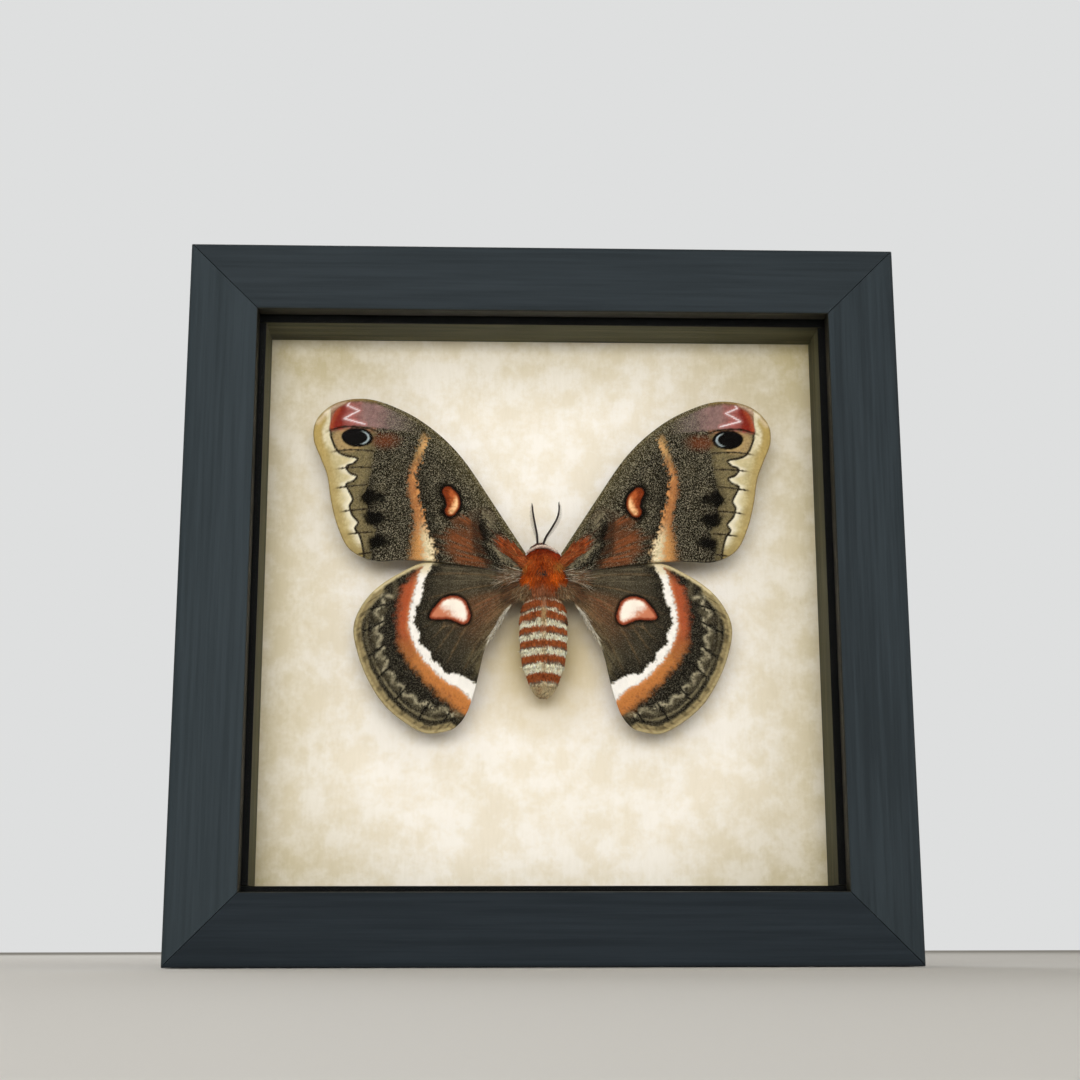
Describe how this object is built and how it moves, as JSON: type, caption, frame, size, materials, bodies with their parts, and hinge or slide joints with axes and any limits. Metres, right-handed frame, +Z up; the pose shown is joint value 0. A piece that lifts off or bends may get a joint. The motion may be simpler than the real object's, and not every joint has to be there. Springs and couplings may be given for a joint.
{
  "type": "framed cecropia moth specimen",
  "caption": "Spread cecropia moth pinned over parchment in a square glazed shadow box with dark painted mitred rails.",
  "frame": {"origin": "on the table under the middle of the box: bottom face of the bottom rail, mid width, mid depth with the hanger counted", "axes": "+Z up the box and towards the moth's head, -Y out through the glass, +X to the viewer's right"},
  "size_m": [0.2414, 0.0392, 0.2413],
  "materials": {
    "painted_wood": "navy charcoal paint over fine straight grain, satin",
    "glass": "clear picture glass",
    "stained_wood": "dark olive stained softwood, matt",
    "parchment": "mottled cream parchment paper",
    "foam_board": "white paper-faced foam board",
    "hardboard": "smooth brown hardboard",
    "zinc_steel": "zinc plated steel",
    "brass": "brass plated strip",
    "pin_steel": "dark spring steel wire",
    "head_hair": "short red-brown hair",
    "thorax_hair": "long rust-red hair with an olive fringe",
    "abdomen_hair": "short hair in rust and cream rings edged black",
    "compound_eye": "dark glossy compound eye",
    "chitin": "dark brown horny shaft and comb",
    "forewing_scales": "grey-brown wing scales with rust, cream and black markings",
    "hindwing_scales": "grey-brown wing scales with rust, cream and black markings",
    "leg_hair": "short rust-brown hair over horny legs"
  },
  "bodies": {
    "root": {"rail_bottom": "painted_wood", "rail_left": "painted_wood", "rail_top": "painted_wood", "rail_right": "painted_wood", "glass": "glass", "spacer_top": "stained_wood", "spacer_bottom": "stained_wood", "spacer_left": "stained_wood", "spacer_right": "stained_wood", "parchment": "parchment", "mounting_board": "foam_board", "back_panel": "hardboard", "glazing_point_1": "zinc_steel", "glazing_point_2": "zinc_steel", "glazing_point_3": "zinc_steel", "glazing_point_4": "zinc_steel", "glazing_point_5": "zinc_steel", "glazing_point_6": "zinc_steel", "glazing_point_7": "zinc_steel", "glazing_point_8": "zinc_steel", "hanger": "brass", "pin": "pin_steel", "head": "head_hair", "thorax": "thorax_hair", "abdomen": "abdomen_hair", "eye_left": "compound_eye", "antenna_left": "chitin", "forewing_left": "forewing_scales", "hindwing_left": "hindwing_scales", "leg_front_left": "leg_hair", "leg_middle_left": "leg_hair", "leg_hind_left": "leg_hair", "eye_right": "compound_eye", "antenna_right": "chitin", "forewing_right": "forewing_scales", "hindwing_right": "hindwing_scales", "leg_front_right": "leg_hair", "leg_middle_right": "leg_hair", "leg_hind_right": "leg_hair"}
  },
  "joints": []
}
